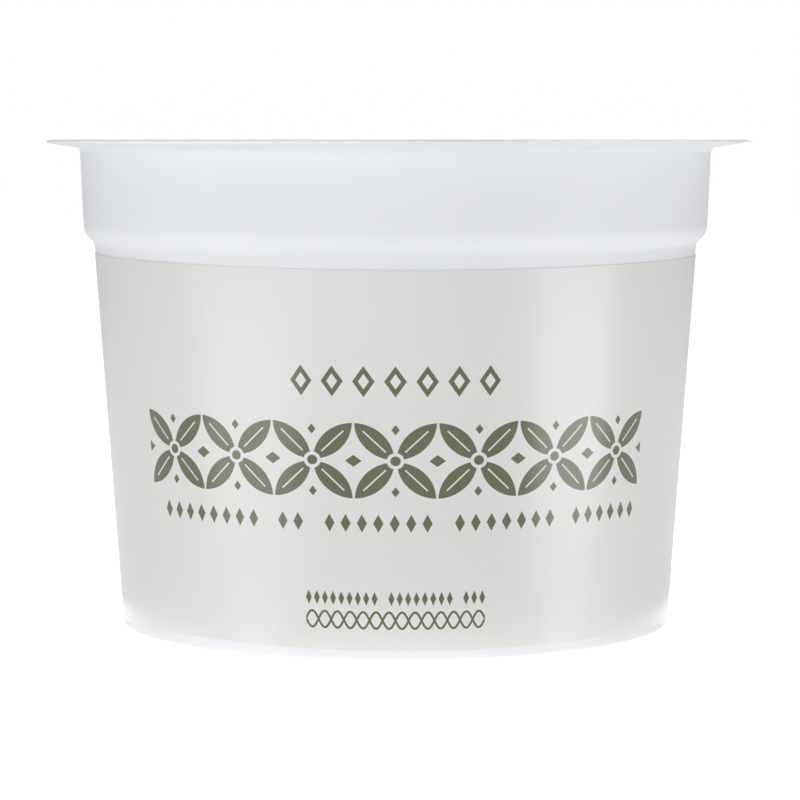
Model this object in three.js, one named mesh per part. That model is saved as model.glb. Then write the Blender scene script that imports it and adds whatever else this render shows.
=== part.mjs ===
// A shut white plastic tub of soft cheese, with a wrap-round label and a peel-off film lid.
// Millimetres, +Z up. The origin is the middle of the base, on the plane that the tub stands on,
// and the front of the tub faces -Y.

import * as THREE from 'three';

// Tub: sealing flange, straight collar, ledge, tapered wall and base
const TUB_HEIGHT = 66.15;
const FLANGE_RADIUS = 47.5;
const FLANGE_EDGE = 0.4; // thickness at the rim
const FLANGE_ROOT = 0.9; // thickness where it meets the collar
const FLANGE_FILLET = 0.8;
const HEADSPACE = 0.9; // from the flange down to the closed face under the film
const COLLAR_TOP_RADIUS = 43.05;
const COLLAR_FOOT_RADIUS = 42.65;
const COLLAR_FOOT_Z = 54.75;
const LEDGE_CURL_RADIUS = 2.7; // the rounded edge under the collar
const LEDGE_HOLLOW_RADIUS = 1.3; // the hollow that leads from it into the wall
const LEDGE_TURN = 52; // degrees that each of the two curves turns
const WALL_FOOT_RADIUS = 37.45;
const WALL_FOOT_Z = 0.85;
const BASE_CORNER_RADIUS = 0.8;
const FOOT_RING_WIDTH = 2.2;
const BASE_RECESS = 1.3; // height of the raised panel inside the foot ring
const BASE_DOME = 0.3; // how much higher its middle is
const RECESS_FILLET = 0.6;

// Label: a thin sleeve round the wall
const LABEL_THICKNESS = 0.1;
const LABEL_GAP = 0.02;
const LABEL_TOP_Z = 50.2;
const LABEL_FOOT_Z = 1.1;

// Lid: a thin film sealed to the flange, laid a little off centre, with a pull tab at the back
const FILM_THICKNESS = 0.12;
const FILM_GAP = 0.02;
const FILM_RADIUS = 48.1;
const FILM_OFFSET = 0.7;
const FILM_SAG = 0.7; // how far its middle hangs below the flange
const SEAL_INNER_RADIUS = 43.2;
const TAB_REACH = 12; // beyond the edge of the film
const TAB_HALF_WIDTH = 9.5; // degrees, at half of its reach
const TAB_FLANK = 3.5; // degrees over which each flank rises
const TAB_DIRECTION = 45; // degrees from +X towards +Y
const TAB_DROOP = 1.2;
const TAB_ROOT_RADIUS = 46.6;

const SEGMENTS = 80;

const radians = (degrees) => (degrees * Math.PI) / 180;
const smoothstep = (t) => THREE.MathUtils.smoothstep(t, 0, 1);

// Points of an arc in a profile, by its centre, radius and first and last angle in degrees
function arc(r, z, radius, from, to, steps) {
  const points = [];
  for (let i = 0; i <= steps; i += 1) {
    const a = radians(from + ((to - from) * i) / steps);
    points.push([r + radius * Math.cos(a), z + radius * Math.sin(a)]);
  }
  return points;
}

// Turns a closed or axis-to-axis profile of [radius, height] pairs about +Z
function revolve(profile) {
  const geometry = new THREE.LatheGeometry(profile.map(([r, z]) => new THREE.Vector2(r, z)), SEGMENTS);
  return geometry.rotateX(Math.PI / 2);
}

// Top of the tapered wall, where the hollow under the ledge ends
function wallTop() {
  const turn = radians(LEDGE_TURN);
  const both = LEDGE_CURL_RADIUS + LEDGE_HOLLOW_RADIUS;
  return {
    r: COLLAR_FOOT_RADIUS - both * (1 - Math.cos(turn)),
    z: COLLAR_FOOT_Z - both * Math.sin(turn),
  };
}

// Radius of the tub's wall at a height
function wallRadius(z) {
  const top = wallTop();
  return THREE.MathUtils.mapLinear(z, WALL_FOOT_Z, top.z, WALL_FOOT_RADIUS, top.r);
}

// How far the film hangs below the flange at a radius: a shallow bowl inside the seal
function filmSag(r) {
  const t = Math.min(r / SEAL_INNER_RADIUS, 1);
  return FILM_SAG * (1 - t * t) ** 2;
}

// The raised panel under the tub, its step down to the foot ring, and the rounded base corner
function baseProfile() {
  const panelRadius = WALL_FOOT_RADIUS - BASE_CORNER_RADIUS - FOOT_RING_WIDTH - 2 * RECESS_FILLET;
  const panel = [0, 0.35, 0.7].map((t) => [panelRadius * t, BASE_RECESS + BASE_DOME * (1 - t * t)]);
  const stepTop = BASE_RECESS - RECESS_FILLET;
  const ringInner = panelRadius + 2 * RECESS_FILLET;
  return [
    ...panel,
    ...arc(panelRadius, stepTop, RECESS_FILLET, 90, 0, 4),
    ...arc(ringInner, RECESS_FILLET, RECESS_FILLET, 180, 270, 4),
    ...arc(WALL_FOOT_RADIUS - BASE_CORNER_RADIUS, BASE_CORNER_RADIUS, BASE_CORNER_RADIUS, -90, -4, 7),
  ];
}

// The wall, the ledge's hollow and curl, and the collar
function wallProfile() {
  const top = wallTop();
  return [
    ...arc(top.r + LEDGE_HOLLOW_RADIUS, top.z, LEDGE_HOLLOW_RADIUS, 180, 180 - LEDGE_TURN, 4),
    ...arc(COLLAR_FOOT_RADIUS - LEDGE_CURL_RADIUS, COLLAR_FOOT_Z, LEDGE_CURL_RADIUS, -LEDGE_TURN, 0, 6).slice(1),
  ];
}

// The fillet under the flange, its rim, the sealing face and the sunk face inside it
function flangeProfile() {
  const filletZ = TUB_HEIGHT - FLANGE_ROOT - FLANGE_FILLET;
  return [
    ...arc(COLLAR_TOP_RADIUS + FLANGE_FILLET, filletZ, FLANGE_FILLET, 180, 96, 5),
    [FLANGE_RADIUS - 0.1, TUB_HEIGHT - FLANGE_EDGE],
    [FLANGE_RADIUS, TUB_HEIGHT - FLANGE_EDGE + 0.1],
    [FLANGE_RADIUS, TUB_HEIGHT],
    [SEAL_INNER_RADIUS, TUB_HEIGHT],
    [SEAL_INNER_RADIUS - HEADSPACE, TUB_HEIGHT - HEADSPACE],
    [0, TUB_HEIGHT - HEADSPACE],
  ];
}

function tub() {
  const geometry = revolve([...baseProfile(), ...wallProfile(), ...flangeProfile()]);
  const material = new THREE.MeshStandardMaterial({ color: 0xe7eaee, roughness: 0.45, metalness: 0 });
  const mesh = new THREE.Mesh(geometry, material);
  mesh.name = 'tub';
  return mesh;
}

function label() {
  const inner = (z) => [wallRadius(z) + LABEL_GAP, z];
  const outer = (z) => [wallRadius(z) + LABEL_GAP + LABEL_THICKNESS, z];
  const profile = [outer(LABEL_FOOT_Z), outer(LABEL_TOP_Z), inner(LABEL_TOP_Z), inner(LABEL_FOOT_Z)];
  const material = new THREE.MeshStandardMaterial({ color: 0xdad9d7, roughness: 0.35, metalness: 0 });
  const mesh = new THREE.Mesh(revolve([...profile, profile[0]]), material);
  mesh.name = 'label';
  return mesh;
}

// How far the tab carries the film's edge outwards in a direction, in degrees from +X
function tabReach(direction) {
  const away = Math.abs(THREE.MathUtils.euclideanModulo(direction - TAB_DIRECTION + 180, 360) - 180);
  const inside = (TAB_HALF_WIDTH + TAB_FLANK / 2 - away) / TAB_FLANK;
  return TAB_REACH * smoothstep(inside);
}

// Stretches the outer rings of a round film into the tab and lets the tab droop
function pullOutTab(geometry) {
  const position = geometry.attributes.position;
  for (let i = 0; i < position.count; i += 1) {
    const x = position.getX(i);
    const y = position.getY(i);
    const r = Math.hypot(x, y);
    const share = (r - TAB_ROOT_RADIUS) / (FILM_RADIUS - TAB_ROOT_RADIUS);
    if (share > 0) {
      const reach = tabReach(THREE.MathUtils.radToDeg(Math.atan2(y, x))) * share;
      const stretch = (r + reach) / r;
      const droop = TAB_DROOP * (reach / TAB_REACH) ** 2;
      position.setXYZ(i, x * stretch, y * stretch, position.getZ(i) - droop);
    }
  }
  return geometry;
}

function lidFilm() {
  const seat = TUB_HEIGHT + FILM_GAP;
  const rings = [0, 0.4, 0.7, 1].map((t) => SEAL_INNER_RADIUS * t);
  for (let i = 0; i <= 3; i += 1) {
    rings.push(THREE.MathUtils.lerp(TAB_ROOT_RADIUS, FILM_RADIUS, i / 3));
  }
  const under = rings.map((r) => [r, seat - filmSag(r)]);
  const over = rings.map((r) => [r, seat - filmSag(r) + FILM_THICKNESS]).reverse();
  const material = new THREE.MeshStandardMaterial({ color: 0xe8e9ec, roughness: 0.3, metalness: 0 });
  const mesh = new THREE.Mesh(pullOutTab(revolve([...under, ...over])), material);
  mesh.name = 'lid_film';
  mesh.position.x = FILM_OFFSET;
  return mesh;
}

const group = new THREE.Group();
group.add(tub(), label(), lidFilm());

export default group;
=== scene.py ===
"""A shut white tub of fresh cheese: moulded tub, wrap-round printed label and film lid.

The file is laid out as a Blender add-on and runs as a script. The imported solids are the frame:
each operator below makes one finished piece in their place. Sizes are in metres, +Z is up, the
middle of the base is the origin and the front of the tub faces -Y.
"""

import math

import bpy
import numpy as np
from bpy.props import FloatProperty, FloatVectorProperty, IntProperty, PointerProperty
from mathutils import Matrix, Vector


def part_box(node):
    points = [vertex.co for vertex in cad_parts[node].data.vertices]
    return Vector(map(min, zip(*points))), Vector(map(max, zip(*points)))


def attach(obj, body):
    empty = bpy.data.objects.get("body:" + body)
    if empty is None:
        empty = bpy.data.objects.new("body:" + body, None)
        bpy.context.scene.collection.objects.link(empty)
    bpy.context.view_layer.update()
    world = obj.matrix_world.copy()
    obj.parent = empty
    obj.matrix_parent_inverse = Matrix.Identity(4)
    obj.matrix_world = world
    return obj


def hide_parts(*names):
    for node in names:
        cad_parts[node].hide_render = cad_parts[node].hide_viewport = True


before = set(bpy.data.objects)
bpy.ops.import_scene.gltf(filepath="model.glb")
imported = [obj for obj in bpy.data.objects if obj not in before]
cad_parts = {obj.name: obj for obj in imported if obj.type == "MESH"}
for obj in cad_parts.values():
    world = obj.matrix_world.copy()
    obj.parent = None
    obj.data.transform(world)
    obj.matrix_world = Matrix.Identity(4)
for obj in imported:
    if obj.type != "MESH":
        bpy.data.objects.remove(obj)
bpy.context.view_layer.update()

bl_info = {
    "name": "Sealed Cheese Tub",
    "version": (1, 0, 0),
    "blender": (4, 5, 0),
    "location": "View3D > Sidebar > Cheese Tub",
    "description": "A shut tub of fresh cheese with its label, its film lid and a plain studio",
    "category": "Add Mesh",
}

TUB_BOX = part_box("tub")
LABEL_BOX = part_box("label")
FILM_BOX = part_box("lid_film")

MM = 0.001
BAKE_MAP = "OFBake"  # the map that a bake uses, which the label's print is also laid out on
PRINTED_SHARE = 0.9  # of the label's map, from its foot, that its outer face takes


def length(name, description, default):
    """A size in metres that a user may change."""
    return FloatProperty(
        name=name, description=description, default=default, min=0.0,
        precision=5, subtype="DISTANCE", unit="LENGTH",
    )


def colour(name, description, default):
    """A colour that a user may change."""
    return FloatVectorProperty(
        name=name, description=description, default=default, size=3,
        min=0.0, max=1.0, subtype="COLOR",
    )


def number(name, description, default):
    """A plain number that a user may change."""
    return FloatProperty(name=name, description=description, default=default, min=0.0)


class TubSizes(bpy.types.PropertyGroup):
    """The moulded tub's outline."""

    height: length("Height", "From the foot ring to the top of the flange", TUB_BOX[1].z)
    flange_radius: length("Flange radius", "Radius of the sealing flange", TUB_BOX[1].x)
    flange_edge: length("Flange edge", "Thickness of the flange at its rim", 0.4 * MM)
    flange_root: length("Flange root", "Thickness of the flange at the collar", 0.9 * MM)
    flange_fillet: length("Flange fillet", "Radius between flange and collar", 0.8 * MM)
    headspace: length("Headspace", "From the flange down to the face under the film", 0.9 * MM)
    seal_radius: length("Seal radius", "Inner radius of the sealing face", 43.2 * MM)
    collar_top: length("Collar top", "Radius of the collar under the flange", 43.05 * MM)
    collar_foot: length("Collar foot", "Radius of the collar above the ledge", 42.65 * MM)
    collar_foot_height: length("Collar foot height", "Where the collar's foot curls in", 54.75 * MM)
    ledge_curl: length("Ledge curl", "Radius of the rounded edge under the collar", 2.7 * MM)
    ledge_hollow: length("Ledge hollow", "Radius of the hollow under that edge", 1.3 * MM)
    ledge_turn: number("Ledge turn", "Degrees that each of the two curves turns", 52.0)
    wall_foot: length("Wall foot", "Radius of the wall above the base corner", 37.45 * MM)
    wall_foot_height: length("Wall foot height", "Where the straight wall starts", 0.45 * MM)
    base_corner: length("Base corner", "Radius of the base corner", 0.42 * MM)
    foot_ring: length("Foot ring", "Width of the ring that the tub stands on", 2.2 * MM)
    recess: length("Recess", "Height of the panel inside the foot ring", 1.3 * MM)
    recess_fillet: length("Recess fillet", "Radius of the step round that panel", 0.6 * MM)
    dome: length("Dome", "How much higher the panel's middle is", 0.3 * MM)
    dimple_radius: length("Dimple radius", "Radius of the gate's dimple", 2.6 * MM)
    dimple_depth: length("Dimple depth", "How deep the gate's dimple is", 0.35 * MM)
    nub_radius: length("Nub radius", "Radius of the nub in that dimple", 0.8 * MM)
    nub_height: length("Nub height", "How far the nub stands out", 0.5 * MM)
    mark_radius: length("Mark radius", "Radius of the fine ring round the gate", 10.0 * MM)
    mark_width: length("Mark width", "Half width of that ring", 0.35 * MM)
    mark_height: length("Mark height", "How far that ring stands out", 0.12 * MM)
    segments: IntProperty(name="Segments", description="Steps round the tub", default=360, min=24)


class LabelSizes(bpy.types.PropertyGroup):
    """The label, and the rows of print on it, by their height above the base."""

    foot: length("Foot", "Height of the lower edge at the front", LABEL_BOX[0].z + 0.27 * MM)
    top: length("Top", "Height of the upper edge at the front", LABEL_BOX[1].z - 0.24 * MM)
    side_rise: length("Side rise", "How much higher both edges run at the sides", 0.8 * MM)
    foot_dip: length("Foot dip", "How much lower the lower edge runs at the sides", 1.6 * MM)
    tilt: length("Tilt", "How much higher they run at the left than at the middle", 0.15 * MM)
    gap: length("Gap", "Glue between wall and label", 0.02 * MM)
    thickness: length("Thickness", "Thickness of the label", 0.06 * MM)
    overlap: length("Overlap", "How far one end lies over the other at the back", 7.0 * MM)
    ramp: length("Ramp", "How far the end climbs on to the other", 2.5 * MM)
    seam: number("Seam", "Degrees from the front to the middle of the overlap", 186.0)
    band_height: length("Band height", "Height of the middle of the large ornaments", 25.8 * MM)
    band_tall: length("Band size", "Height of the large ornaments", 9.9 * MM)
    band_pitch: length("Band pitch", "From one large ornament to the next", 10.66 * MM)


class LidSizes(bpy.types.PropertyGroup):
    """The film lid and its pull tab."""

    radius: length("Radius", "Radius of the film", (FILM_BOX[1].x - FILM_BOX[0].x) / 2)
    offset: length("Offset", "How far off centre it lies", (FILM_BOX[1].x + FILM_BOX[0].x) / 2)
    thickness: length("Thickness", "Thickness of the film", 0.06 * MM)
    gap: length("Gap", "Seal between flange and film", 0.02 * MM)
    trim: length("Trim", "How much less it reaches at the front and back", 0.66 * MM)
    sag: length("Sag", "How far the middle hangs", 0.7 * MM)
    wrinkle: length("Wrinkle", "Height of the puckers inside the seal", 0.17 * MM)
    wrinkle_radius: length("Wrinkle radius", "Radius at which they are highest", 39.5 * MM)
    wrinkle_width: length("Wrinkle width", "Half width of the ring of puckers", 3.2 * MM)
    dent: length("Dent", "Half depth of the wide dents in its middle", 0.12 * MM)
    tab_reach: length("Tab reach", "How far the pull tab stands out", 12.0 * MM)
    tab_droop: length("Tab droop", "How far its tip hangs", 0.12 * MM)
    edge_droop: length("Edge droop", "How far its edge hangs past the flange", 0.2 * MM)
    tab_root: length("Tab root", "Radius at which the tab starts to stretch", 46.6 * MM)
    tab_half_width: number("Tab half width", "Degrees, at half of its reach", 9.5)
    tab_flank: number("Tab flank", "Degrees over which each flank rises", 3.5)
    tab_direction: number("Tab direction", "Degrees from +X towards +Y", 45.0)


class Finishes(bpy.types.PropertyGroup):
    """Colours of the materials."""

    plastic: colour("Plastic", "Moulded tub", (0.806, 0.818, 0.837))
    paper: colour("Paper", "Label", (0.715, 0.7, 0.682))
    backing: colour("Backing", "Back of the label", (0.78, 0.78, 0.77))
    ink: colour("Ink", "Print on label and lid", (0.070, 0.079, 0.010))
    film: colour("Film", "Unprinted film", (0.845, 0.85, 0.875))
    floor: colour("Floor", "Studio floor", (0.86, 0.86, 0.86))


class Studio(bpy.types.PropertyGroup):
    """Camera and light."""

    distance: length("Distance", "Camera to the tub's axis", 0.452)
    rise: length("Rise", "Camera above the lid", 0.2 * MM)
    pitch: number("Pitch", "Degrees that the camera looks down", 4.562)
    yaw: number("Yaw", "Degrees that the camera looks to the right", 0.078)
    lens: number("Lens", "Focal length in millimetres on a 36 mm sensor", 147.91)
    ambient: number("Ambient", "Strength of the light from all sides", 0.40)
    key: number("Key", "Power of the soft box at the front, in watts", 2.67)
    overhead: number("Overhead", "Power of the soft box above, in watts", 9.0)
    back: number("Back", "Power of each of the two soft boxes behind, in watts", 0.25)
    glow: number("Glow", "How much the floor glows", 1.0)
    foot_glow: number("Foot glow", "How much more it glows round the foot", 1.42)
    left_glow: number("Left glow", "How much more its left wedge glows", 2.2)
    right_glow: number("Right glow", "How much more its right wedge glows", 3.4)
    near_cover: number("Near cover", "Share of the floor near the tub that isn't clear", 0.325)
    far_cover: number("Far cover", "The same share far out", 0.18)


# Shapes


def arc(centre, radius, start, end, count):
    """Points of an arc: centre plus radius times cosine and sine of an angle, in degrees."""
    angle = np.radians(np.linspace(start, end, count))
    return np.stack([centre[0] + radius * np.cos(angle), centre[1] + radius * np.sin(angle)], -1)


def straight(start, end, count):
    """Evenly spaced points from start to end."""
    return np.linspace(start, end, count)


def smooth_step(t):
    """0 below 0 and 1 above 1, with three t squared less two t cubed between."""
    t = np.clip(t, 0, 1)
    return t * t * (3 - 2 * t)


def bell(distance, width, power=2):
    """A bell curve: e to the minus power of the distance over the width."""
    return np.exp(-((distance / width) ** power))


def new_piece(name, points, faces, uv):
    """A mesh object at the origin, from points, faces and one map coordinate per corner."""
    mesh = bpy.data.meshes.new(name)
    mesh.from_pydata(points.tolist(), [], faces)
    layer = mesh.uv_layers.new(name=BAKE_MAP)
    layer.data.foreach_set("uv", np.asarray(uv, np.float32).ravel())
    mesh.shade_smooth()
    mesh.set_sharp_from_angle(angle=math.radians(38))
    mesh.validate()
    piece = bpy.data.objects.new(name, mesh)
    bpy.context.scene.collection.objects.link(piece)
    return piece


def grid_faces(rows, columns, wrap, u, v):
    """Faces of a grid of points, row by row, and the map coordinates of their corners.

    u holds one value per column line and v one per row. With wrap, the last column joins the
    first, and u has one value more than there are columns.
    """
    across = columns if wrap else columns - 1
    i, j = np.meshgrid(np.arange(rows - 1), np.arange(across), indexing="ij")
    i, j = i.ravel(), j.ravel()
    low, high = i * columns, (i + 1) * columns
    nxt = (j + 1) % columns
    faces = np.stack([low + j, low + nxt, high + nxt, high + j], -1)
    corners = np.stack(
        [np.stack([u[j], v[i]], -1), np.stack([u[j + 1], v[i]], -1),
         np.stack([u[j + 1], v[i + 1]], -1), np.stack([u[j], v[i + 1]], -1)], 1,
    )
    return faces, corners


def closed_round(name, rings, first_pole, last_pole, angles):
    """A closed round shape from rings of points, with a fan of triangles at each pole.

    The map runs round the shape in u, and in v by the mean distance from ring to ring.
    """
    rows, columns = rings.shape[:2]
    steps = np.linalg.norm(np.diff(rings, axis=0), axis=-1).mean(1)
    ends = [np.linalg.norm(rings[0] - first_pole, axis=-1).mean(),
            np.linalg.norm(rings[-1] - last_pole, axis=-1).mean()]
    along = np.concatenate([[0], [ends[0]], ends[0] + np.cumsum(steps)])
    along = along / (along[-1] + ends[1])
    v = along[1:]
    u = np.append((angles - angles[0]) / (2 * np.pi), 1.0)
    faces, corners = grid_faces(rows, columns, True, u, v)
    j = np.arange(columns)
    nxt = (j + 1) % columns
    first, last, count = rows * columns, rows * columns + 1, (rows - 1) * columns
    low = np.stack([np.full(columns, first), nxt, j], -1)
    high = np.stack([count + j, count + nxt, np.full(columns, last)], -1)
    middle = (u[:-1] + u[1:]) / 2
    low_uv = np.stack([np.stack([middle, 0 * middle], -1),
                       np.stack([u[1:], 0 * middle + v[0]], -1),
                       np.stack([u[:-1], 0 * middle + v[0]], -1)], 1)
    high_uv = np.stack([np.stack([u[:-1], 0 * middle + v[-1]], -1),
                        np.stack([u[1:], 0 * middle + v[-1]], -1),
                        np.stack([middle, 0 * middle + 1], -1)], 1)
    points = np.concatenate([rings.reshape(-1, 3), [first_pole], [last_pole]])
    uv = np.concatenate([corners.reshape(-1, 2), low_uv.reshape(-1, 2), high_uv.reshape(-1, 2)])
    return new_piece(name, points, faces.tolist() + low.tolist() + high.tolist(), uv)


def turned(name, profile, segments):
    """A shape turned about Z: each profile point's radius times cosine and sine, at its height.

    The profile starts on the axis below and ends on it above.
    """
    angles = np.linspace(0, 2 * np.pi, segments, endpoint=False) - np.pi / 2
    r, z = profile[1:-1, 0, None], profile[1:-1, 1, None]
    rings = np.stack([r * np.cos(angles), r * np.sin(angles), z + 0 * angles], -1)
    return closed_round(name, rings, (0, 0, profile[0, 1]), (0, 0, profile[-1, 1]), angles)


def wall_top(tub):
    """Radius and height at which the straight wall meets the hollow under the ledge."""
    turn = math.radians(tub.ledge_turn)
    both = tub.ledge_curl + tub.ledge_hollow
    return (tub.collar_foot - both * (1 - math.cos(turn)),
            tub.collar_foot_height - both * math.sin(turn))


def wall_radius(tub, z):
    """Radius of the straight wall at a height: linear from its foot to its top."""
    top_r, top_z = wall_top(tub)
    share = (z - tub.wall_foot_height) / (top_z - tub.wall_foot_height)
    return tub.wall_foot + (top_r - tub.wall_foot) * share


def base_outline(tub):
    """From the axis out to the wall: domed panel with a gate mark and a ring, step, foot ring.

    The panel's height is the recess plus a dome that falls with the radius squared, plus a dimple
    with a small nub at the middle and a fine ring, all of them bell curves of the radius.
    """
    edge = tub.wall_foot - tub.base_corner - tub.foot_ring - 2 * tub.recess_fillet
    r = np.concatenate([np.linspace(0, 4 * MM, 26), np.linspace(4.6 * MM, 8.4 * MM, 5),
                        np.linspace(9 * MM, 11 * MM, 13), np.linspace(12 * MM, edge, 10)[:-1]])
    dimple = tub.dimple_depth * bell(r, tub.dimple_radius, 4)
    nub = tub.nub_height * bell(r, tub.nub_radius, 4)
    ring = tub.mark_height * bell(r - tub.mark_radius, tub.mark_width)
    dome = tub.dome * (1 - (r / edge) ** 2)
    panel = np.stack([r, tub.recess + dome + dimple - nub - ring], -1)
    fillet = tub.recess_fillet
    corner = tub.wall_foot - tub.base_corner
    return [
        panel,
        arc((edge, tub.recess - fillet), fillet, 90, 0, 8),
        arc((edge + 2 * fillet, fillet), fillet, 180, 270, 9)[1:],
        arc((corner, tub.base_corner), tub.base_corner, -90, -4, 14),
    ]


def side_outline(tub):
    """Straight wall, hollow and curl of the ledge, collar, and the fillet under the flange."""
    top_r, top_z = wall_top(tub)
    hollow = arc((top_r + tub.ledge_hollow, top_z), tub.ledge_hollow, 180, 180 - tub.ledge_turn, 10)
    curl = arc((tub.collar_foot - tub.ledge_curl, tub.collar_foot_height), tub.ledge_curl,
               -tub.ledge_turn, 0, 18)
    foot = (wall_radius(tub, tub.wall_foot_height + MM), tub.wall_foot_height + MM)
    root = (tub.collar_top + tub.flange_fillet, tub.height - tub.flange_root - tub.flange_fillet)
    fillet = arc(root, tub.flange_fillet, 180, 96, 12)
    return [
        straight(foot, hollow[0], 22)[:-1],
        hollow,
        curl[1:],
        straight(curl[-1], fillet[0], 8)[1:-1],
        fillet,
    ]


def flange_outline(tub):
    """Under the flange to its rounded rim, the sealing face, and the sunk face inside it."""
    lower_round = 0.13 * MM
    upper_round = 0.06 * MM
    root = (tub.collar_top + 2 * tub.flange_fillet, tub.height - 0.88 * tub.flange_root)
    under = (tub.flange_radius - lower_round, tub.height - tub.flange_edge)
    inner = (tub.seal_radius - tub.headspace, tub.height - tub.headspace)
    return [
        straight(root, under, 7)[:-1],
        arc((under[0], under[1] + lower_round), lower_round, -90, 0, 6),
        arc((tub.flange_radius - upper_round, tub.height - upper_round), upper_round, 0, 90, 5),
        straight((tub.seal_radius, tub.height), inner, 4),
        straight((inner[0] * 0.7, inner[1]), (0, inner[1]), 4),
    ]


def label_angles(tub, label):
    """Angles from the front, in radians, along the label from one end to the other."""
    middle = wall_radius(tub, (label.foot + label.top) / 2)
    half_overlap = label.overlap / middle / 2
    end = math.radians(label.seam) + half_overlap
    start = math.radians(label.seam - 360) - half_overlap
    climb = end - 2 * half_overlap - label.ramp / middle
    plain, climbing = np.linspace(start, climb, 660), np.linspace(climb, end, 60)
    return np.concatenate([plain[:-1], climbing]), middle


def label_sleeve(tub, label):
    """The label: the wall's radius plus the glue, carried round by a little more than a turn.

    It is cut a little straighter than the wall's cone, so both edges rise with the sine squared
    of the angle, less a tilt times the sine. The lower edge dips by the eighth power of the
    sine. Where the end lies over the start, a smooth step lifts it by its own thickness. The
    section is a thin loop of an outer and an inner face, closed at both ends.
    """
    angles, middle = label_angles(tub, label)
    climb = (angles - (angles[-1] - (label.overlap + label.ramp) / middle)) / (label.ramp / middle)
    lift = (label.thickness + label.gap / 2) * smooth_step(climb)
    outer_z = np.linspace(label.foot, label.top, 26)
    inner_z = np.array([label.top, (label.top + label.foot) / 2, label.foot])
    z = np.concatenate([outer_z, inner_z])[:, None]
    side = np.sin(angles)
    dip = label.foot_dip * side ** 8 * (label.top - z) / (label.top - label.foot)
    z = z + label.side_rise * side ** 2 - label.tilt * side - dip
    thick = np.repeat([label.thickness, 0.0], [len(outer_z), len(inner_z)])[:, None]
    r = wall_radius(tub, z) + label.gap + thick + lift
    points = np.stack([r * np.sin(angles), -r * np.cos(angles), z], -1)
    rows, columns = r.shape
    points = np.concatenate([points, points[:1]])
    share = (outer_z - label.foot) / (label.top - label.foot)
    inner_v = [0.93, 0.96, 0.98, 1.0]  # over the upper edge, down the inner face, to the start
    v = np.concatenate([PRINTED_SHARE * share, inner_v])
    u = (angles - angles[0]) / (angles[-1] - angles[0])
    faces, corners = grid_faces(rows + 1, columns, False, u, v)
    faces = faces % (rows * columns)
    loop = np.arange(rows) * columns
    caps = [loop[::-1].tolist(), (loop + columns - 1).tolist()]
    start_uv = np.stack([0 * v[:-1], v[:-1]], -1)[::-1]
    end_uv = np.stack([0 * v[:-1] + 1, v[:-1]], -1)
    uv = np.concatenate([corners.reshape(-1, 2), start_uv, end_uv])
    return new_piece("label_sleeve", points[:-1].reshape(-1, 3), faces.tolist() + caps, uv)


def tab_share(lid, angles):
    """Share of the tab's full reach in each direction: 1 over its width, falling smoothly."""
    away = np.abs((np.degrees(angles) - lid.tab_direction + 180) % 360 - 180)
    return smooth_step((lid.tab_half_width + lid.tab_flank / 2 - away) / lid.tab_flank)


def film_height(tub, lid, r, angles):
    """Height of the film over the flange at each radius and angle.

    Inside the seal it hangs as a shallow bowl, the square of one less the radius squared, with
    puckers near the seal: three cosines of the angle, in patches, under a bell curve of the
    radius. Three wide dents, a cosine of three times the angle, fade in from the middle.
    """
    t = np.clip(r / tub.seal_radius, 0, 1)
    bowl = -lid.sag * (1 - t * t) ** 2
    ring = bell(r - lid.wrinkle_radius, lid.wrinkle_width)
    ring = ring * smooth_step((tub.seal_radius - r) / (2 * MM))
    wide, fine = np.cos(13 * angles + 0.4), 0.5 * np.cos(47 * angles)
    puckers = (wide + 0.7 * np.cos(29 * angles + 2.1) + fine) / 2.2
    patches = 0.5 + 0.5 * np.cos(2 * angles - 1.1) * np.cos(5 * angles + 0.6)
    dents = lid.dent * (np.cos(3 * angles + 0.9) - 1) * smooth_step(r / (25 * MM)) * (1 - t * t)
    return bowl + lid.wrinkle * ring * (puckers * patches - 1) + dents


def lid_shape(tub, lid):
    """The film: rings round its own centre, stretched outwards into the tab, both faces alike.

    Each point's distance from its centre is its ring's radius plus the tab's share of the reach,
    less a trim that grows with the sine squared of its direction. What stands past the flange
    hangs by a smooth step, and the tab by the square of its share.
    """
    near = np.radians(lid.tab_direction) + np.radians(np.linspace(-24, 24, 193))
    far = np.linspace(near[-1], near[0] + 2 * np.pi, 350)[1:-1]
    angles = np.concatenate([near, far])
    r = np.concatenate([
        np.linspace(1.5 * MM, 30 * MM, 14),
        np.linspace(31 * MM, tub.seal_radius, 20),
        np.linspace(44 * MM, lid.tab_root, 4),
        np.linspace(lid.tab_root, lid.radius, 14)[1:],
    ])
    share = np.clip((r - lid.tab_root) / (lid.radius - lid.tab_root), 0, 1)[:, None]
    pulled = tab_share(lid, angles)[None, :]
    reach = lid.tab_reach * pulled * share
    droop = lid.tab_droop * (reach / lid.tab_reach) ** 2
    reach = reach - lid.trim * np.sin(angles) ** 2 * (1 - pulled) * share
    seat = tub.height + lid.gap
    out = r[:, None] + reach
    x, y = lid.offset + out * np.cos(angles), out * np.sin(angles)
    past = (np.hypot(x, y) - tub.flange_radius) / (1.2 * MM)
    droop = droop + lid.edge_droop * smooth_step(past)
    z = seat + film_height(tub, lid, r[:, None], angles[None, :]) - droop
    under = np.stack([x, y, z], -1)
    over = under + np.array([0, 0, lid.thickness])
    middle = (lid.offset, 0, seat - lid.sag)
    rings = np.concatenate([under, over[::-1]])
    return closed_round("film_lid", rings, middle, np.add(middle, (0, 0, lid.thickness)), angles)


# Materials


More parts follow.
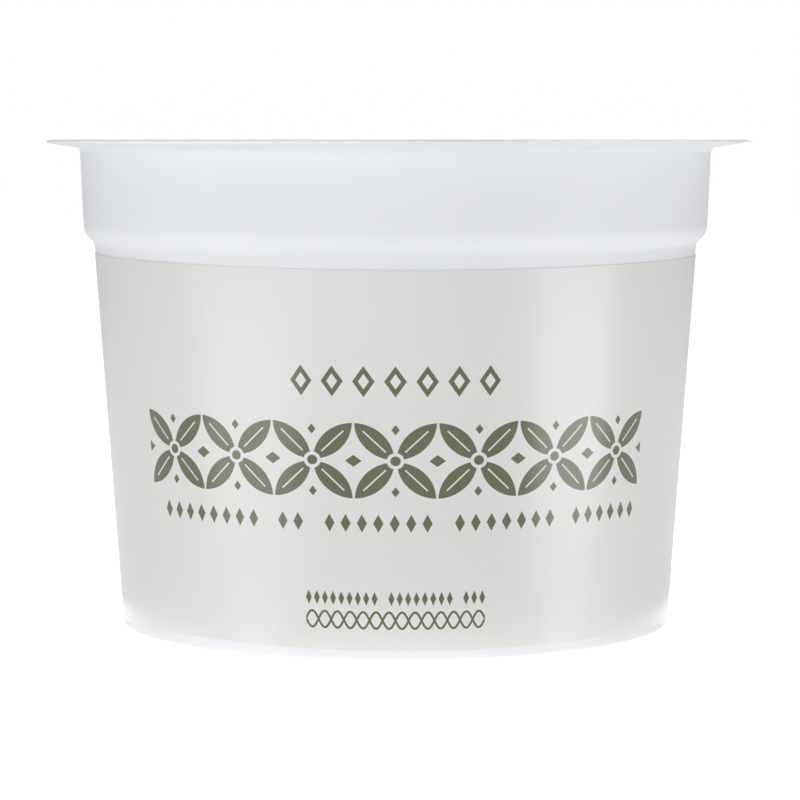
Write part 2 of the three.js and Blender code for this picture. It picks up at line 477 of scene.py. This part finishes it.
class Wire:
    """An output of a node. Python arithmetic on it adds Math nodes."""

    def __init__(self, sheet, socket):
        self.sheet = sheet
        self.socket = socket

    def __add__(self, other):
        return self.sheet.math("ADD", self, other)

    def __radd__(self, other):
        return self.sheet.math("ADD", other, self)

    def __sub__(self, other):
        return self.sheet.math("SUBTRACT", self, other)

    def __rsub__(self, other):
        return self.sheet.math("SUBTRACT", other, self)

    def __mul__(self, other):
        return self.sheet.math("MULTIPLY", self, other)

    def __rmul__(self, other):
        return self.sheet.math("MULTIPLY", other, self)

    def __truediv__(self, other):
        return self.sheet.math("DIVIDE", self, other)

    def __abs__(self):
        return self.sheet.math("ABSOLUTE", self)

    def output(self, name):
        """Another output of the same node."""
        return Wire(self.sheet, self.socket.node.outputs[name])


class Sheet:
    """The nodes of one material, with a Principled shader at the end."""

    def __init__(self, name):
        self.material = bpy.data.materials.new(name)
        self.material.use_nodes = True
        self.tree = self.material.node_tree
        self.tree.nodes.clear()

    def node(self, kind, settings=None, inputs=None, output=0):
        """Adds a node, sets its settings, then fills its inputs, and returns one output."""
        made = self.tree.nodes.new(kind)
        for key, value in (settings or {}).items():
            setattr(made, key, value)
        for key, value in (inputs or {}).items():
            if isinstance(value, Wire):
                self.tree.links.new(value.socket, made.inputs[key])
            else:
                made.inputs[key].default_value = value
        return Wire(self, made.outputs[output])

    def math(self, operation, *values, clamp=False):
        """A Math node on wires and numbers."""
        settings = {"operation": operation, "use_clamp": clamp}
        return self.node("ShaderNodeMath", settings, dict(enumerate(values)))

    def smaller(self, a, b):
        """The smaller of two values."""
        return self.math("MINIMUM", a, b)

    def larger(self, a, b):
        """The larger of two values."""
        return self.math("MAXIMUM", a, b)

    def distance(self, x, y):
        """Length of the vector x, y."""
        return self.math("SQRT", x * x + y * y)

    def inside(self, depth, softness):
        """1 where a depth below an edge is negative and 0 outside, over a soft edge."""
        return self.math("MULTIPLY_ADD", depth, -1 / softness, 0.5, clamp=True)

    def cells(self, position, pitch):
        """Number of the nearest cell along a row, and the position within it."""
        number = self.math("ROUND", position / pitch)
        return number, position - number * pitch

    def colours(self, factor, a, b):
        """Mixes two colours."""
        return self.node("ShaderNodeMix", {"data_type": "RGBA"}, {0: factor, 6: a, 7: b}, 2)

    def place(self):
        """Object coordinates."""
        return self.node("ShaderNodeTexCoord", output="Object")

    def noise(self, scale, detail=2.0, roughness=0.5, vector=None):
        """A noise from 0 to 1 on the object's own coordinates, scale in features per metre."""
        inputs = {"Scale": scale, "Detail": detail, "Roughness": roughness}
        inputs["Vector"] = vector or self.place()
        return self.node("ShaderNodeTexNoise", None, inputs)

    def stretched(self, scale):
        """Object coordinates scaled by a vector."""
        return self.node("ShaderNodeMapping", None, {"Vector": self.place(), "Scale": scale})

    def bump(self, height):
        """A normal from a height in millimetres."""
        return self.node("ShaderNodeBump", None, {"Height": height, "Distance": MM})

    def finish(self, **inputs):
        """Ends the material in a Principled shader with these inputs, named with underscores."""
        names = {key.replace("_", " "): value for key, value in inputs.items()}
        names["IOR"] = 1.5
        shader = self.node("ShaderNodeBsdfPrincipled", None, names)
        end = self.tree.nodes.new("ShaderNodeOutputMaterial")
        self.tree.links.new(shader.socket, end.inputs["Surface"])
        return self.material


def rgba(values):
    """A colour with full alpha."""
    return (*values, 1.0)


def darker(values, share):
    """The same colour at a share of its strength."""
    return rgba([share * v for v in values])


def moulded_plastic(finishes):
    """White moulded plastic: cloudy flow marks, a fine tool texture and uneven gloss."""
    sheet = Sheet("tub_plastic")
    cloud = sheet.noise(55.0, 3.0)
    speck = sheet.noise(900.0, 2.0)
    shade = cloud * 0.8 + speck * 0.2
    base = sheet.colours(shade, darker(finishes.plastic, 0.975), darker(finishes.plastic, 1.02))
    grain = sheet.noise(3600.0, 3.0, 0.6)
    waves = sheet.noise(42.0, 1.0)
    return sheet.finish(
        Base_Color=base,
        Roughness=0.40 + 0.10 * sheet.noise(160.0, 3.0),
        Normal=sheet.bump(grain * 0.004 + waves * 0.05),
        Subsurface_Weight=0.12,
        Subsurface_Radius=(1.0, 0.95, 0.9),
        Subsurface_Scale=1.2 * MM,
        Specular_IOR_Level=0.45,
    )


def print_position(sheet, tub, label):
    """Where a point lies on the label's outer face, in millimetres.

    Returns the distance round from the middle of the front, the height above the base, and a
    mask of the outer face.
    """
    angles, middle = label_angles(tub, label)
    turn = angles[-1] - angles[0]
    front = -angles[0] / turn
    place = sheet.node("ShaderNodeUVMap", {"uv_map": BAKE_MAP})
    split = sheet.node("ShaderNodeSeparateXYZ", None, {0: place})
    across = (split.output("X") - front) * (turn * middle / MM)
    tall = (label.top - label.foot) / MM
    up = split.output("Y") * (tall / PRINTED_SHARE) + label.foot / MM
    outer = sheet.inside(split.output("Y") - (PRINTED_SHARE + 0.01), 0.001)
    return across, up, outer


def rosette_band(sheet, across, up, label):
    """Seven bold rosettes of four petals, each where two circles overlap, with a fine midrib.

    A cell is folded on to one quarter, where the petal is the overlap of a circle at the middle
    of the cell's side and one at the middle of its top. Its lengths are shares of the cell.
    """
    soft, petal_radius, eye_radius, hole_radius = 0.006, 0.487, 0.062, 0.105
    rib_width, rib_length, side_size, cap_size = 0.013, 0.27, 0.10, 0.065
    half_row = 3.5
    pitch, tall = label.band_pitch / MM, label.band_tall / MM
    number, within = sheet.cells(across, pitch)
    x = abs(within) / pitch
    y = abs(up - label.band_height / MM) / tall
    petal = sheet.larger(sheet.distance(x - 0.5, y), sheet.distance(x, y - 0.5)) - petal_radius
    rib = sheet.larger(abs(x - y) - rib_width, abs(x + y - 0.5) - rib_length)
    petals = sheet.inside(petal, soft) * (1 - sheet.inside(rib, soft))
    eye = sheet.inside(sheet.distance(x, y) - eye_radius, soft)
    hole = sheet.inside(sheet.distance(x, y) - hole_radius, soft)
    flower = petals * (1 - hole) + eye
    side = sheet.inside(0.5 - x + y * 1.3 - side_size, soft)
    cap = sheet.inside(x * 1.3 + abs(y - 0.40) - cap_size, soft)
    row = sheet.math("LESS_THAN", abs(number), half_row)
    ends = sheet.math("LESS_THAN", abs(across), half_row * pitch)
    return (flower + side * ends + cap) * row


def diamond_row(sheet, across, up, height, pitch, half_wide, half_tall, stroke, last):
    """Open diamonds in a row, numbered from -last to last."""
    number, within = sheet.cells(across, pitch)
    reach = abs(within) / half_wide + abs(up - height) / half_tall
    ring = sheet.inside(abs(reach - (1 - stroke / 2)) - stroke / 2, 0.05)
    return ring * sheet.math("LESS_THAN", abs(number), last + 0.5)


def grouped_marks(sheet, across, up, height, pitch, half_wide, half_tall, groups, middle=0.0):
    """Small solid diamonds in groups, with one place left free between two groups."""
    places = sum(groups) + len(groups) - 1
    number, within = sheet.cells(across - (middle - (places - 1) / 2 * pitch), pitch)
    reach = abs(within) / half_wide + abs(up - height) / half_tall
    mark = sheet.inside(reach - 1, 0.06 / half_wide)
    kept = sheet.math("LESS_THAN", abs(number - (places - 1) / 2), places / 2)
    gap = -1
    for count in groups[:-1]:
        gap += count + 1
        kept = kept * (1 - sheet.math("COMPARE", number, float(gap), 0.4))
    return mark * kept


def braided_rule(sheet, across, up, height, swing, wave, stroke, half_long):
    """Two fine sine waves that cross: the height over the swing of both, over their slope."""
    phase = across * (2 * math.pi / wave)
    rise = swing * abs(sheet.math("SINE", phase))
    slope = (2 * math.pi * swing / wave) * sheet.math("COSINE", phase)
    depth = abs(abs(up - height) - rise) / sheet.math("SQRT", 1 + slope * slope)
    return sheet.inside(depth - stroke / 2, 0.05) * sheet.inside(abs(across) - half_long, 0.05)


def fine_panel(sheet, across, up, middle, height, half_wide, half_tall):
    """A framed block of rows of small diamonds for the back of the label, a fifth left out."""
    line_pitch, mark_pitch, left_out, margin = 2.4, 1.15, 0.2, 1.6
    half_mark, half_mark_tall, half_stroke = 0.42, 0.75, 0.12
    x, y = across - middle, up - height
    border = sheet.larger(abs(x) - half_wide, abs(y) - half_tall)
    frame_line = sheet.inside(abs(border) - half_stroke, 0.06)
    line, in_line = sheet.cells(y, line_pitch)
    place, in_place = sheet.cells(x, mark_pitch)
    seed = sheet.node("ShaderNodeCombineXYZ", None, {0: place, 1: line, 2: middle})
    settings = {"noise_dimensions": "3D"}
    chance = sheet.node("ShaderNodeTexWhiteNoise", settings, {"Vector": seed}, "Value")
    kept = sheet.math("GREATER_THAN", chance, left_out)
    mark = sheet.inside(abs(in_place) / half_mark + abs(in_line) / half_mark_tall - 1, 0.2)
    return frame_line + mark * kept * sheet.inside(border + margin, 0.05)


def label_print(sheet, across, up, label):
    """All the ink on the label, from 0 to 1, by the rows' sizes and heights in millimetres."""
    rows = [
        diamond_row(sheet, across, up, height=35.9, pitch=3.97, half_wide=1.4,
                    half_tall=1.97, stroke=0.5, last=3),
        rosette_band(sheet, across, up, label),
        grouped_marks(sheet, across, up, height=17.8, pitch=2.11, half_wide=0.66,
                      half_tall=1.17, groups=(8, 2, 7, 7, 6), middle=0.95),
        grouped_marks(sheet, across, up, height=8.1, pitch=1.10, half_wide=0.40,
                      half_tall=0.92, groups=(9, 8, 3)),
        braided_rule(sheet, across, up, height=5.3, swing=1.05, wave=24 / 7,
                     stroke=0.3, half_long=12.0),
        fine_panel(sheet, across, up, middle=84.0, height=25.5, half_wide=16.0, half_tall=17.0),
        fine_panel(sheet, across, up, middle=-84.0, height=25.5, half_wide=16.0, half_tall=17.0),
    ]
    ink = rows[0]
    for row in rows[1:]:
        ink = ink + row
    return ink


def label_paper(tub, label, finishes):
    """Satin coated label: warm grey with faint mottling, olive ink a little glossier than it."""
    sheet = Sheet("label_paper")
    across, up, outer = print_position(sheet, tub, label)
    ink = sheet.smaller(label_print(sheet, across, up, label) * outer, 1.0)
    mottle = sheet.noise(220.0, 4.0)
    fibre = sheet.noise(1500.0, 2.0, 0.6, sheet.stretched((1.0, 1.0, 0.35)))
    shade = mottle * 0.5 + fibre * 0.5
    paper = sheet.colours(shade, darker(finishes.paper, 0.985), darker(finishes.paper, 1.015))
    paper = sheet.colours(outer, rgba(finishes.backing), paper)
    inked = sheet.colours(fibre, darker(finishes.ink, 0.93), darker(finishes.ink, 1.07))
    grain = sheet.noise(2600.0, 3.0, 0.6)
    waves = sheet.noise(30.0, 1.0)
    return sheet.finish(
        Base_Color=sheet.colours(ink, paper, inked),
        Roughness=0.28 + 0.05 * mottle - 0.13 * ink,
        Normal=sheet.bump(grain * 0.002 + waves * 0.03 + ink * 0.002),
        Specular_IOR_Level=0.9,
        Coat_Weight=0.9,
        Coat_Roughness=0.24,
    )


def film_print(sheet, r, angle):
    """Print on the lid: a thin ring, a ring of small diamonds and a rosette at the middle.

    Each of the rosette's eight petals is the overlap of two circles on either side of its rib.
    """
    rim_radius, marks, marks_radius, half_wide, half_tall = 25.0, 40, 22.2, 0.66, 1.15
    petal_middle, petal_radius, half_apart, rib_width, rib_length = 5.2, 6.4, 4.6, 0.14, 3.0
    rim = sheet.inside(abs(r - rim_radius) - 0.2, 0.06)
    turn = sheet.cells(angle, 2 * math.pi / marks)[1]
    diamonds = abs(turn) * marks_radius / half_wide + abs(r - marks_radius) / half_tall - 1
    leaf = sheet.cells(angle, math.pi / 4)[1]
    x, y = r * sheet.math("COSINE", leaf), r * abs(sheet.math("SINE", leaf))
    petal = sheet.distance(x - petal_middle, y + half_apart) - petal_radius
    rib = sheet.larger(abs(y) - rib_width, abs(x - petal_middle) - rib_length)
    petals = sheet.inside(petal, 0.06) * (1 - sheet.inside(rib, 0.06))
    return rim + sheet.inside(diamonds, 0.08) + petals


def lid_film(lid, finishes):
    """Satin white film: printed field, a waffle seal over the flange and ridges on the tab."""
    seal_radius, half_seal, turns, swirl = 44.9, 1.35, 150.0, 4.0
    ridge_pitch, ridges_start = 1.1, 50.5
    sheet = Sheet("lid_film")
    shift = {"Vector": sheet.place(), "Location": (-lid.offset, 0, 0)}
    centred = sheet.node("ShaderNodeMapping", None, shift)
    split = sheet.node("ShaderNodeSeparateXYZ", None, {0: centred})
    x, y = split.output("X") / MM, split.output("Y") / MM
    r = sheet.distance(x, y)
    angle = sheet.math("ARCTAN2", y, x)
    own_map = sheet.node("ShaderNodeUVMap", {"uv_map": BAKE_MAP})
    own_split = sheet.node("ShaderNodeSeparateXYZ", None, {0: own_map})
    upper = sheet.math("GREATER_THAN", own_split.output("Y"), 0.5)
    ink = film_print(sheet, r, angle) * upper
    mottle = sheet.noise(180.0, 4.0)
    base = sheet.colours(mottle, darker(finishes.film, 0.985), darker(finishes.film, 1.015))
    seal = sheet.inside(abs(r - seal_radius) - half_seal, 0.15)
    left_turn = sheet.math("SINE", angle * turns + r * swirl)
    right_turn = sheet.math("SINE", angle * turns - r * swirl)
    waffle = left_turn * right_turn * seal
    bearing = math.radians(lid.tab_direction)
    out = x * math.cos(bearing) + y * math.sin(bearing)
    ridges = sheet.math("SINE", out * (2 * math.pi / ridge_pitch))
    ridges = ridges * sheet.inside(ridges_start - out, 0.6)
    relief = waffle * 0.09 - seal * 0.14 + ridges * 0.06 + sheet.noise(60.0, 3.0) * 0.12
    return sheet.finish(
        Base_Color=sheet.colours(ink, base, rgba(finishes.ink)),
        Roughness=0.30 + 0.08 * mottle,
        Normal=sheet.bump(relief),
        Specular_IOR_Level=0.4,
    )


def glowing_wedge(sheet, x, y, turn, bearing, half_width):
    """A wedge of the floor that starts at the tub's foot, all given in degrees from the front.

    It grows brighter in a straight line with the distance from where it starts.
    """
    foot, reach, least, growth = 38.5, 320.0, 0.45, 0.0063
    start = math.radians(turn)
    dx = x - foot * math.sin(start)
    dy = y + foot * math.cos(start)
    angle = sheet.math("ARCTAN2", dx, 0 - dy)
    off = abs(angle - math.radians(bearing)) - math.radians(half_width)
    away = sheet.distance(dx, dy)
    return sheet.inside(off, 0.14) * sheet.inside(away - reach, 40.0) * (least + away * growth)


def floor_glass(finishes, studio):
    """White studio glass lit from below: brighter round the foot and in two wedges.

    The wedges are what the label mirrors as its two upright bands of light. The glass is partly
    clear, and clearer far out, so the white behind it shows through.
    """
    foot_glow_radius, near_radius, brightest = 46.0, 400.0, 4.0
    sheet = Sheet("studio_floor")
    split = sheet.node("ShaderNodeSeparateXYZ", None, {0: sheet.place()})
    x, y = split.output("X") / MM, split.output("Y") / MM
    r = sheet.distance(x, y)
    near = sheet.inside(r - near_radius, near_radius)
    left = glowing_wedge(sheet, x, y, turn=-27.3, bearing=-58.5, half_width=22.5)
    right = glowing_wedge(sheet, x, y, turn=33.9, bearing=72.5, half_width=19.0)
    glow = studio.glow + studio.foot_glow * sheet.inside(r - foot_glow_radius, 6.0)
    glow = glow + studio.left_glow * left + studio.right_glow * right
    grain = sheet.noise(900.0, 3.0)
    return sheet.finish(
        Base_Color=sheet.colours(grain, darker(finishes.floor, 0.99), darker(finishes.floor, 1.01)),
        Roughness=0.9,
        Alpha=studio.far_cover + (studio.near_cover - studio.far_cover) * near,
        Emission_Color=glow * (1 / brightest),
        Emission_Strength=brightest,
        Specular_IOR_Level=0.1,
    )


# Studio


def area_light(name, aim, azimuth, elevation, distance, wide, tall, power, tint):
    """A soft box that looks at a point, placed by azimuth from the camera's side and elevation."""
    a, e = math.radians(azimuth), math.radians(elevation)
    away = Vector((math.sin(a) * math.cos(e), -math.cos(a) * math.cos(e), math.sin(e)))
    data = bpy.data.lights.new(name, "AREA")
    data.shape, data.size, data.size_y = "RECTANGLE", wide, tall
    data.energy, data.color = power, tint
    light = bpy.data.objects.new(name, data)
    light.location = Vector(aim) + away * distance
    light.rotation_euler = (-away).to_track_quat("-Z", "Y").to_euler()
    light.visible_camera = False
    bpy.context.scene.collection.objects.link(light)
    return light


def surround(strength):
    """Plain white behind the tub, and a softer white light from all sides."""
    world = bpy.data.worlds.new("studio_surround")
    bpy.context.scene.world = world
    world.use_nodes = True
    tree = world.node_tree
    tree.nodes.clear()
    seen = tree.nodes.new("ShaderNodeBackground")
    seen.inputs["Color"].default_value = (1.0, 1.0, 1.0, 1.0)
    light = tree.nodes.new("ShaderNodeBackground")
    light.inputs["Color"].default_value = (0.97, 0.985, 1.0, 1.0)
    light.inputs["Strength"].default_value = strength
    path = tree.nodes.new("ShaderNodeLightPath")
    mix = tree.nodes.new("ShaderNodeMixShader")
    end = tree.nodes.new("ShaderNodeOutputWorld")
    tree.links.new(path.outputs["Is Camera Ray"], mix.inputs[0])
    tree.links.new(light.outputs[0], mix.inputs[1])
    tree.links.new(seen.outputs[0], mix.inputs[2])
    tree.links.new(mix.outputs[0], end.inputs["Surface"])


def camera(studio):
    """The camera at the front, level with the lid, with a long lens."""
    data = bpy.data.cameras.new("camera")
    data.lens, data.sensor_width = studio.lens, 36.0
    data.clip_start, data.clip_end = 0.01, 20.0
    view = bpy.data.objects.new("camera", data)
    view.location = (0, -studio.distance, FILM_BOX[1].z + studio.rise)
    view.rotation_euler = (math.radians(90 - studio.pitch), 0, math.radians(-studio.yaw))
    bpy.context.scene.collection.objects.link(view)
    bpy.context.scene.camera = view


def floor_sheet():
    """A flat round floor: rings of points whose radius grows by a constant share."""
    count, columns = 15, 48
    angles = np.linspace(0, 2 * np.pi, columns, endpoint=False)
    r = np.geomspace(0.02, 2.2, count)[:, None]
    rings = np.stack([r * np.cos(angles), r * np.sin(angles), 0 * r + 0 * angles], -1)
    points = np.concatenate([rings.reshape(-1, 3), [(0, 0, 0)]])
    u = np.linspace(0, 1, columns + 1)
    faces, corners = grid_faces(count, columns, True, u, np.linspace(0.1, 1, count))
    j = np.arange(columns)
    hub = np.stack([np.full(columns, count * columns), j, (j + 1) % columns], -1)
    hub_uv = np.stack([np.stack([u[:-1], 0 * u[:-1]], -1), np.stack([u[:-1], 0 * u[:-1] + 0.1], -1),
                       np.stack([u[1:], 0 * u[:-1] + 0.1], -1)], 1)
    uv = np.concatenate([corners[:, ::-1].reshape(-1, 2), hub_uv.reshape(-1, 2)])
    return new_piece("studio_floor", points, faces[:, ::-1].tolist() + hub.tolist(), uv)


# Operators


def dress(piece, material, node):
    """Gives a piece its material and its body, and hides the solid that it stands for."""
    piece.data.materials.append(material)
    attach(piece, "root")
    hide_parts(node)


class CHEESETUB_OT_tub(bpy.types.Operator):
    """Make the moulded tub"""

    bl_idname = "cheese_tub.tub"
    bl_label = "Moulded Tub"

    def execute(self, context):
        scene = context.scene
        tub = scene.cheese_tub_sizes
        profile = np.concatenate(base_outline(tub) + side_outline(tub) + flange_outline(tub))
        piece = turned("moulded_tub", profile, tub.segments)
        dress(piece, moulded_plastic(scene.cheese_tub_finishes), "tub")
        return {"FINISHED"}


class CHEESETUB_OT_label(bpy.types.Operator):
    """Make the wrap-round printed label"""

    bl_idname = "cheese_tub.label"
    bl_label = "Label"

    def execute(self, context):
        scene = context.scene
        tub, label = scene.cheese_tub_sizes, scene.cheese_tub_label
        piece = label_sleeve(tub, label)
        dress(piece, label_paper(tub, label, scene.cheese_tub_finishes), "label")
        return {"FINISHED"}


class CHEESETUB_OT_lid(bpy.types.Operator):
    """Make the film lid with its pull tab"""

    bl_idname = "cheese_tub.lid"
    bl_label = "Film Lid"

    def execute(self, context):
        scene = context.scene
        tub, lid = scene.cheese_tub_sizes, scene.cheese_tub_lid
        piece = lid_shape(tub, lid)
        dress(piece, lid_film(lid, scene.cheese_tub_finishes), "lid_film")
        return {"FINISHED"}


class CHEESETUB_OT_stage(bpy.types.Operator):
    """Make the floor, the lights and the camera"""

    bl_idname = "cheese_tub.stage"
    bl_label = "Studio"

    def execute(self, context):
        scene = context.scene
        studio = scene.cheese_tub_studio
        floor = floor_sheet()
        floor.data.materials.append(floor_glass(scene.cheese_tub_finishes, studio))
        surround(studio.ambient)
        aim = (0, 0, 0.035)
        white = (1.0, 1.0, 1.0)
        area_light("key", aim, -12, 10, 1.0, 0.9, 0.4, studio.key, white)
        area_light("overhead", aim, 0, 89, 1.2, 1.2, 1.2, studio.overhead, white)
        area_light("back_left", aim, -135, 25, 1.1, 0.8, 0.8, studio.back, white)
        area_light("back_right", aim, 135, 25, 1.1, 0.8, 0.8, studio.back, white)
        camera(studio)
        scene.view_settings.view_transform = "Standard"
        return {"FINISHED"}


class CHEESETUB_PT_panel(bpy.types.Panel):
    """Lists the pieces of the tub"""

    bl_idname = "CHEESETUB_PT_panel"
    bl_label = "Cheese Tub"
    bl_space_type = "VIEW_3D"
    bl_region_type = "UI"
    bl_category = "Cheese Tub"

    def draw(self, context):
        for operator in OPERATORS:
            self.layout.operator(operator.bl_idname)


OPERATORS = (CHEESETUB_OT_tub, CHEESETUB_OT_label, CHEESETUB_OT_lid, CHEESETUB_OT_stage)
GROUPS = {
    "cheese_tub_sizes": TubSizes,
    "cheese_tub_label": LabelSizes,
    "cheese_tub_lid": LidSizes,
    "cheese_tub_finishes": Finishes,
    "cheese_tub_studio": Studio,
}


def register():
    """Registers the classes and gives the scene their settings."""
    for kind in (*GROUPS.values(), *OPERATORS, CHEESETUB_PT_panel):
        bpy.utils.register_class(kind)
    for name, kind in GROUPS.items():
        setattr(bpy.types.Scene, name, PointerProperty(type=kind))


def unregister():
    """Takes the settings and classes away again."""
    for name in GROUPS:
        delattr(bpy.types.Scene, name)
    for kind in reversed((*GROUPS.values(), *OPERATORS, CHEESETUB_PT_panel)):
        bpy.utils.unregister_class(kind)


def main():
    register()
    bpy.ops.cheese_tub.tub()
    bpy.ops.cheese_tub.label()
    bpy.ops.cheese_tub.lid()
    bpy.ops.cheese_tub.stage()


if __name__ == "__main__":
    main()
